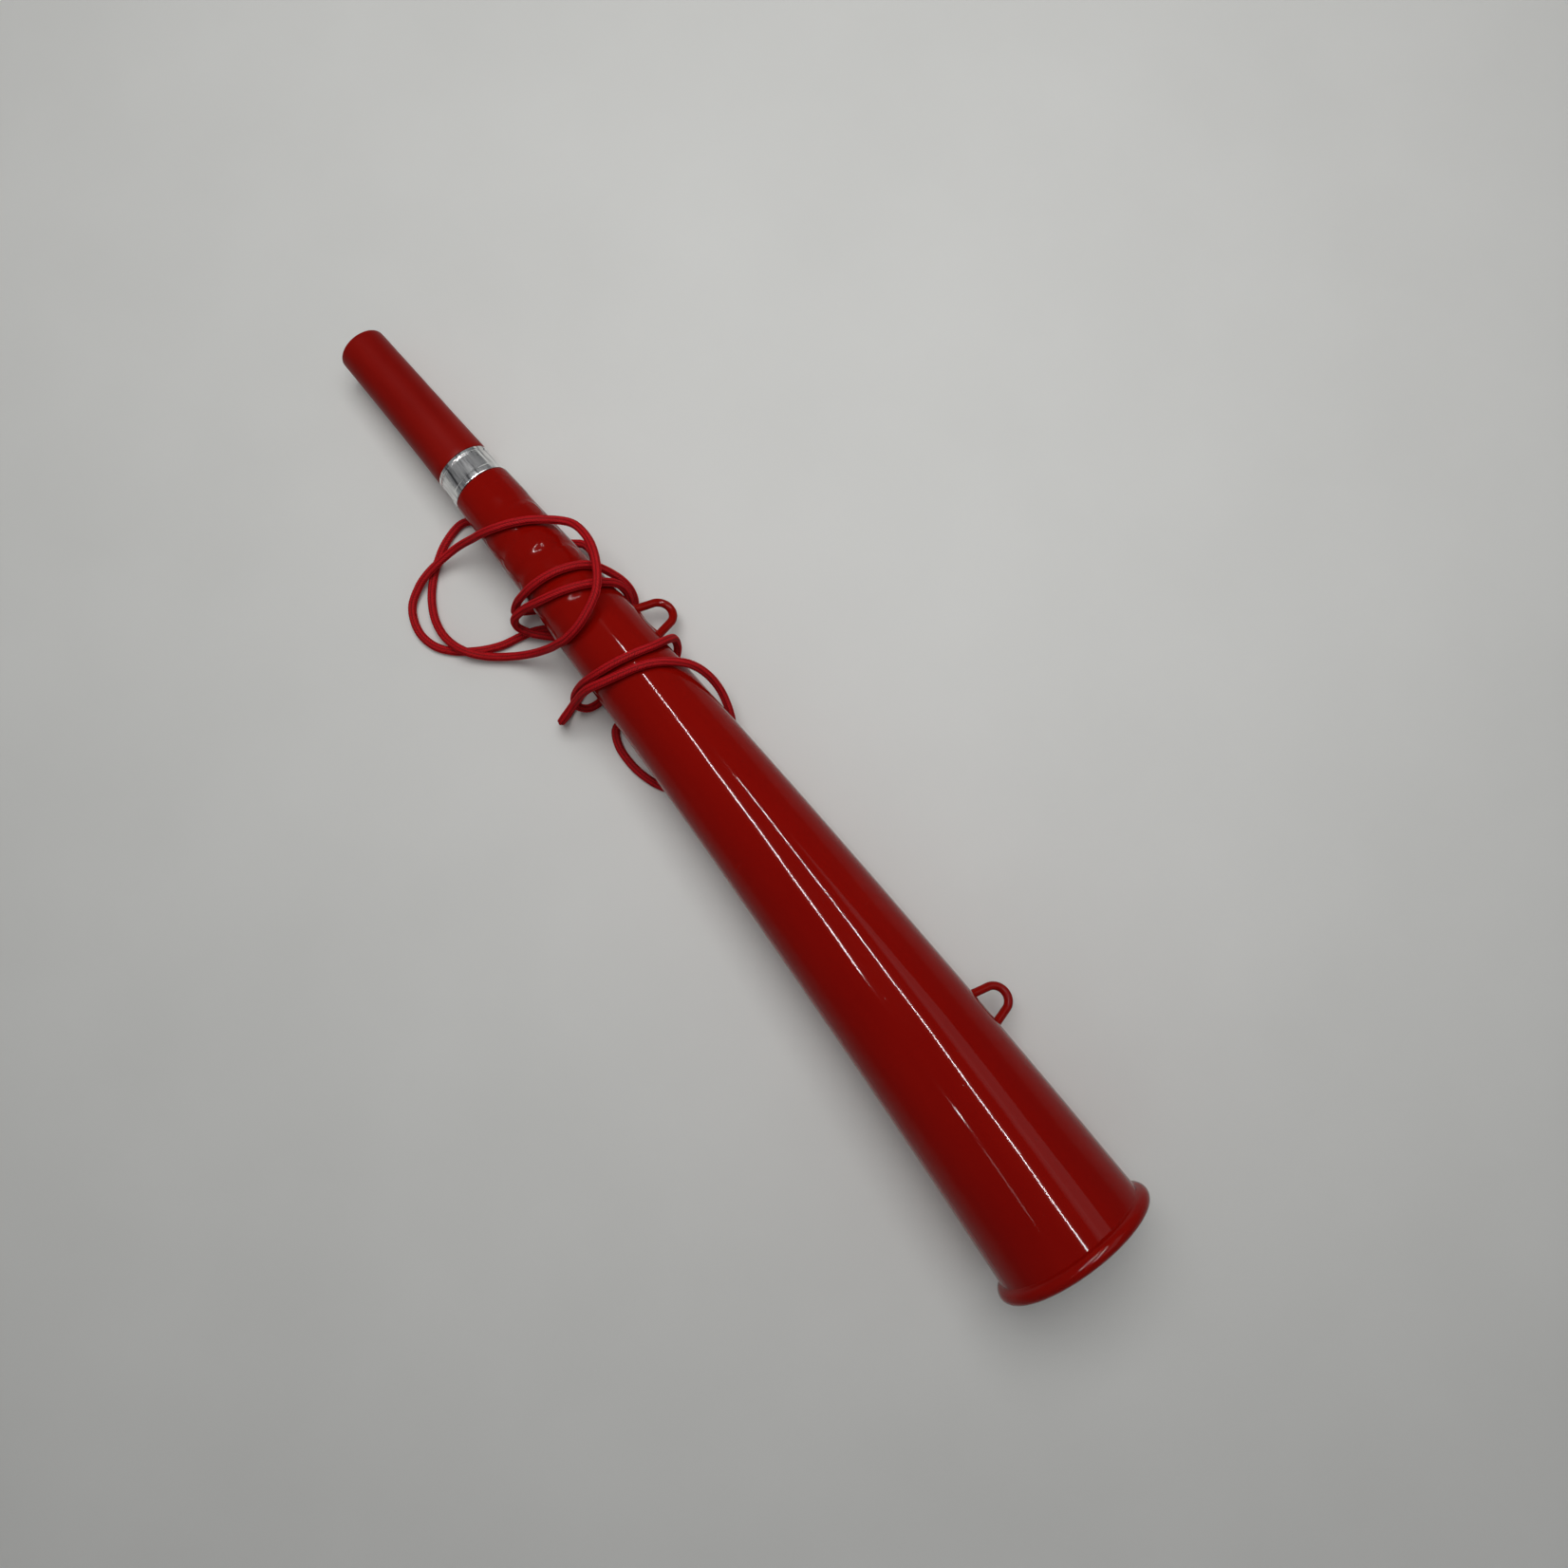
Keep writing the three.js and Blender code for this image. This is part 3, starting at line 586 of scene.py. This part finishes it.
def moulded_plastic(name, dark, light, rough, wave, peel, shine, satin=None, stretch=None):
    """Coloured moulded plastic with faint flow marks, soft unevenness and a fine skin.

    satin is (x where it is full, x where it has faded out, roughness) of a worn, duller part.
    stretch is the length of the stretches, along x, that each lean a little differently.
    """
    material, shader, add, link = new_material(name)
    place = add("ShaderNodeTexCoord").outputs["Object"]
    flow = add("ShaderNodeMapping", {"Vector": place})
    flow.inputs["Scale"].default_value = (6, 40, 40)
    cloud = add("ShaderNodeTexNoise", {"Vector": flow.outputs["Vector"]})
    cloud.inputs["Scale"].default_value = 1.6
    cloud.inputs["Detail"].default_value = 4
    link(colours_of(add, cloud.outputs["Fac"], [(0.3, dark), (0.7, light)]), shader.inputs["Base Color"])
    smudge = add("ShaderNodeTexNoise", {"Vector": place})
    smudge.inputs["Scale"].default_value = 45
    smudge.inputs["Detail"].default_value = 6
    roughness = spread_of(add, smudge.outputs["Fac"], rough * 0.8, rough * 1.25)
    if satin:
        along = add("ShaderNodeSeparateXYZ", {"Vector": place}).outputs["X"]
        worn = add("ShaderNodeMapRange", {"Value": along})
        for key, value in zip(("From Min", "From Max", "To Min", "To Max"), (*satin, 0.0)):
            worn.inputs[key].default_value = value
        rougher = add("ShaderNodeMath", operation="MAXIMUM")
        link(roughness, rougher.inputs[0])
        link(worn.outputs["Result"], rougher.inputs[1])
        roughness = rougher.outputs[0]
    link(roughness, shader.inputs["Roughness"])
    skin = add("ShaderNodeTexNoise", {"Vector": place})
    skin.inputs["Scale"].default_value = 1400
    fine = add("ShaderNodeBump", {"Height": skin.outputs["Fac"]})
    fine.inputs["Strength"].default_value = peel
    fine.inputs["Distance"].default_value = 0.00002
    slow = add("ShaderNodeTexNoise", {"Vector": place})
    slow.inputs["Scale"].default_value = 70
    broad = add("ShaderNodeBump", {"Height": slow.outputs["Fac"], "Normal": fine.outputs["Normal"]})
    broad.inputs["Strength"].default_value = wave
    broad.inputs["Distance"].default_value = 0.0002
    normal = broad.outputs["Normal"]
    if stretch:
        parts = add("ShaderNodeSeparateXYZ", {"Vector": place})
        snapped = add("ShaderNodeMath", operation="SNAP")
        link(parts.outputs["X"], snapped.inputs[0])
        snapped.inputs[1].default_value = stretch
        joined = add(
            "ShaderNodeCombineXYZ",
            {"X": snapped.outputs[0], "Y": parts.outputs["Y"], "Z": parts.outputs["Z"]},
        )
        lean = add("ShaderNodeTexNoise", {"Vector": joined.outputs["Vector"]})
        lean.inputs["Scale"].default_value = 30
        leaning = add("ShaderNodeBump", {"Height": lean.outputs["Fac"], "Normal": normal})
        leaning.inputs["Strength"].default_value = 1.0
        leaning.inputs["Distance"].default_value = LEAN_DEPTH
        normal = leaning.outputs["Normal"]
    link(normal, shader.inputs["Normal"])
    shader.inputs["Specular IOR Level"].default_value = shine
    return material


def metal(name, colours, rough, grain, streak):
    """Metal with streaks along the horn, streak metres wide, and fine turning marks round the axis. The
    streaks set the roughness and the base colour; with dark and bright colours the base colour paints
    reflection bands.
    """
    material, shader, add, link = new_material(name, metallic=1.0)
    place = add("ShaderNodeTexCoord").outputs["Object"]
    drawn = add("ShaderNodeMapping", {"Vector": place})
    drawn.inputs["Scale"].default_value = (0.12 / streak, 1 / streak, 1 / streak)
    streaks = add("ShaderNodeTexNoise", {"Vector": drawn.outputs["Vector"]})
    streaks.inputs["Scale"].default_value = 1.0
    streaks.inputs["Detail"].default_value = 3
    link(colours_of(add, streaks.outputs["Fac"], colours), shader.inputs["Base Color"])
    link(spread_of(add, streaks.outputs["Fac"], rough * 1.5, rough * 0.6), shader.inputs["Roughness"])
    stretch = add("ShaderNodeMapping", {"Vector": place})
    stretch.inputs["Scale"].default_value = (2600, 60, 60)
    marks = add("ShaderNodeTexNoise", {"Vector": stretch.outputs["Vector"]})
    marks.inputs["Scale"].default_value = 1.0
    bump = add("ShaderNodeBump", {"Height": marks.outputs["Fac"]})
    bump.inputs["Strength"].default_value = grain
    bump.inputs["Distance"].default_value = 0.00012
    link(bump.outputs["Normal"], shader.inputs["Normal"])
    return material


def braid_material(name):
    """Braided polyester: painted shade darkens the grooves and a painted highlight lightens the stitch
    crests, with fine fibre lines along each stitch.
    """
    material, shader, add, link = new_material(name)
    relief = add("ShaderNodeAttribute", attribute_name="relief").outputs["Fac"]
    fibre = add("ShaderNodeAttribute", attribute_name="fibre").outputs["Fac"]
    place = add("ShaderNodeTexCoord").outputs["Object"]
    # Base colour by relief: painted shade, near black, in the grooves and a painted highlight, bright red, on
    # the stitch crests
    colours = [(0.0, (0.05, 0.0004, 0.0008)), (0.5, (0.36, 0.0030, 0.0055)), (1.0, (0.62, 0.0100, 0.0160))]
    body = colours_of(add, relief, colours)
    cloud = add("ShaderNodeTexNoise", {"Vector": place})
    cloud.inputs["Scale"].default_value = 900
    shade = add("ShaderNodeMix", {0: spread_of(add, cloud.outputs["Fac"], 0.0, 0.5)}, data_type="RGBA")
    link(body, shade.inputs[6])
    shade.inputs[7].default_value = (0.30, 0.003, 0.005, 1)
    link(shade.outputs[2], shader.inputs["Base Color"])
    turns = add("ShaderNodeMath", operation="MULTIPLY")
    link(fibre, turns.inputs[0])
    turns.inputs[1].default_value = 2 * np.pi * 5
    wave = add("ShaderNodeMath", operation="SINE")
    link(turns.outputs[0], wave.inputs[0])
    bump = add("ShaderNodeBump", {"Height": wave.outputs[0]})
    bump.inputs["Strength"].default_value = 0.35
    bump.inputs["Distance"].default_value = 0.00004
    link(bump.outputs["Normal"], shader.inputs["Normal"])
    link(spread_of(add, cloud.outputs["Fac"], 0.55, 0.8), shader.inputs["Roughness"])
    shader.inputs["Specular IOR Level"].default_value = 0.06
    return material


barrel_plastic = moulded_plastic(
    "barrel_red",
    (0.236, 0.0026, 0.0009),
    (0.262, 0.0036, 0.0013),
    rough=0.05,
    wave=0.06,
    peel=0.03,
    shine=0.08,
    satin=(-0.098, -0.075, 0.11),
    stretch=0.0135,
)
mouthpiece_plastic = moulded_plastic(
    "mouthpiece_red", (0.200, 0.0036, 0.0020), (0.262, 0.0062, 0.0034), 0.36, 0.10, 0.2, 0.05
)
# Chrome streaks: partly real drawn streaks, partly painted reflection, dark and bright bands set into the
# base colour
chrome_painted_reflection_colours = [(0.32, (0.10, 0.10, 0.11)), (0.42, (0.62, 0.62, 0.62)), (0.58, (0.98, 0.98, 0.97))]
brass_colours = [(0.35, (0.62, 0.42, 0.14)), (0.65, (0.72, 0.51, 0.20))]
chrome = metal("chrome", chrome_painted_reflection_colours, 0.20, 0.2, streak=0.0028)
brass = metal("brass", brass_colours, 0.22, 0.3, streak=0.001)
block_plastic = moulded_plastic(
    "block_black", (0.012, 0.012, 0.013), (0.022, 0.022, 0.024), 0.45, 0.2, 0.5, 0.4
)
braid = braid_material("braid_red")


def finish_piece(piece, material, body, slot, *nodes):
    piece.data.materials.clear()
    piece.data.materials.append(material)
    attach(piece, body)
    if nodes:
        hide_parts(*nodes)


finish_piece(barrel, barrel_plastic, "horn", "barrel_plastic", "horn_barrel", "bell_end")
finish_piece(upper_lug, barrel_plastic, "horn", "barrel_plastic", "upper_lug")
finish_piece(lower_lug, barrel_plastic, "horn", "barrel_plastic", "lower_lug")
finish_piece(upper_web, barrel_plastic, "horn", "barrel_plastic")
finish_piece(lower_web, barrel_plastic, "horn", "barrel_plastic")
finish_piece(ring, chrome, "horn", "ring_chrome", "chrome_ring")
finish_piece(mouthpiece, mouthpiece_plastic, "mouthpiece", "mouthpiece_plastic", "mouthpiece_tube")
finish_piece(cord, braid, "horn", "lanyard_braid", "lanyard_loop", "lanyard_turns", "lanyard_tail")
finish_piece(knot_a, braid, "horn", "lanyard_braid", "lanyard_knot_a")
finish_piece(knot_b, braid, "horn", "lanyard_braid", "lanyard_knot_b")
for node, material in (
    ("reed_block", block_plastic),
    ("reed_wedge", block_plastic),
    ("reed_shallot", brass),
    ("reed_collar", brass),
    ("reed_tongue", brass),
):
    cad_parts[node].data.materials.clear()
    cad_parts[node].data.materials.append(material)

# ---- Floor and light ----
FLOOR_HALF = 4.0
FLOOR_CORNERS = [(x * FLOOR_HALF, y * FLOOR_HALF, 0) for x, y in ((-1, -1), (1, -1), (1, 1), (-1, 1))]
floor_mesh = bpy.data.meshes.new("floor")
floor_mesh.from_pydata(FLOOR_CORNERS, [], [(0, 1, 2, 3)])
floor = bpy.data.objects.new("floor", floor_mesh)
scene.collection.objects.link(floor)
floor_material, floor_shader, add, link = new_material("floor_pale")
floor_place = add("ShaderNodeTexCoord").outputs["Object"]
mottle = add("ShaderNodeTexNoise", {"Vector": floor_place})
mottle.inputs["Scale"].default_value = 9
mottle.inputs["Detail"].default_value = 5
link(
    colours_of(add, mottle.outputs["Fac"], [(0.3, (0.66, 0.66, 0.635)), (0.7, (0.69, 0.69, 0.665))]),
    floor_shader.inputs["Base Color"],
)
floor_shader.inputs["Roughness"].default_value = 0.55
floor_shader.inputs["Specular IOR Level"].default_value = 0.3
floor_mesh.materials.append(floor_material)


def softbox(name, place, size, power):
    """A square light facing down, for soft shadows; it leaves no square reflection on the gloss."""
    data = bpy.data.lights.new(name, "AREA")
    data.size = size
    data.energy = power
    light = bpy.data.objects.new(name, data)
    scene.collection.objects.link(light)
    light.location = place
    light.visible_glossy = False


def strip_light(name, start, end, width, radiance):
    """A long narrow light overhead, from start to end, facing down; it only draws a line on the gloss."""
    start, end = Vector(start), Vector(end)
    run = end - start
    data = bpy.data.lights.new(name, "AREA")
    data.shape = "RECTANGLE"
    data.size = run.length
    data.size_y = width
    data.energy = radiance * np.pi * run.length * width
    light = bpy.data.objects.new(name, data)
    scene.collection.objects.link(light)
    light.location = (start + end) / 2
    light.rotation_euler = (0, 0, np.arctan2(run.y, run.x))
    light.visible_diffuse = False


SOFTBOX_PLACE = (-0.35, 0.30, 1.2)
SOFTBOX_SIZE = 0.9
SOFTBOX_POWER = 10.1
STRIP_HEIGHT = 1.5
GLOW_HEIGHT = 1.503  # just above the edge strip that it widens
TUBE_WIDTH = 0.034
TUBE_RADIANCE = 150
STRIPS = (  # name, x and y of the start and the end, height, width, radiance
    ("tube_a", (-0.80, 0.56), (-0.04, -0.35), STRIP_HEIGHT, TUBE_WIDTH, TUBE_RADIANCE),
    ("tube_a_far", (0.222, -0.572), (0.246, -0.596), STRIP_HEIGHT, TUBE_WIDTH, TUBE_RADIANCE),
    ("tube_a_end", (0.30, -0.65), (0.43, -0.78), STRIP_HEIGHT, TUBE_WIDTH, 9),
    ("tube_b", (-0.50, 0.98), (0.66, 0.09), STRIP_HEIGHT, TUBE_WIDTH, TUBE_RADIANCE),
    ("pale_edge", (-0.34, 1.58), (1.02, 0.54), STRIP_HEIGHT, 0.12, 0.8),
    ("pale_glow", (-0.34, 1.58), (1.02, 0.54), GLOW_HEIGHT, 0.26, 0.7),
    ("pale_wall", (-0.10, 1.90), (1.26, 0.86), STRIP_HEIGHT, 0.90, 1.3),
)
softbox("overhead", SOFTBOX_PLACE, SOFTBOX_SIZE, SOFTBOX_POWER)
for name, start, end, height, width, radiance in STRIPS:
    strip_light(name, (*start, height), (*end, height), width, radiance)

ROOM_COLOUR = (0.97, 0.98, 1.0, 1)
ROOM_STRENGTH = 0.18
world = bpy.data.worlds.new("room")
scene.world = world
world.use_nodes = True
background = world.node_tree.nodes["Background"]
background.inputs["Color"].default_value = ROOM_COLOUR
background.inputs["Strength"].default_value = ROOM_STRENGTH
scene.view_settings.view_transform = "Standard"
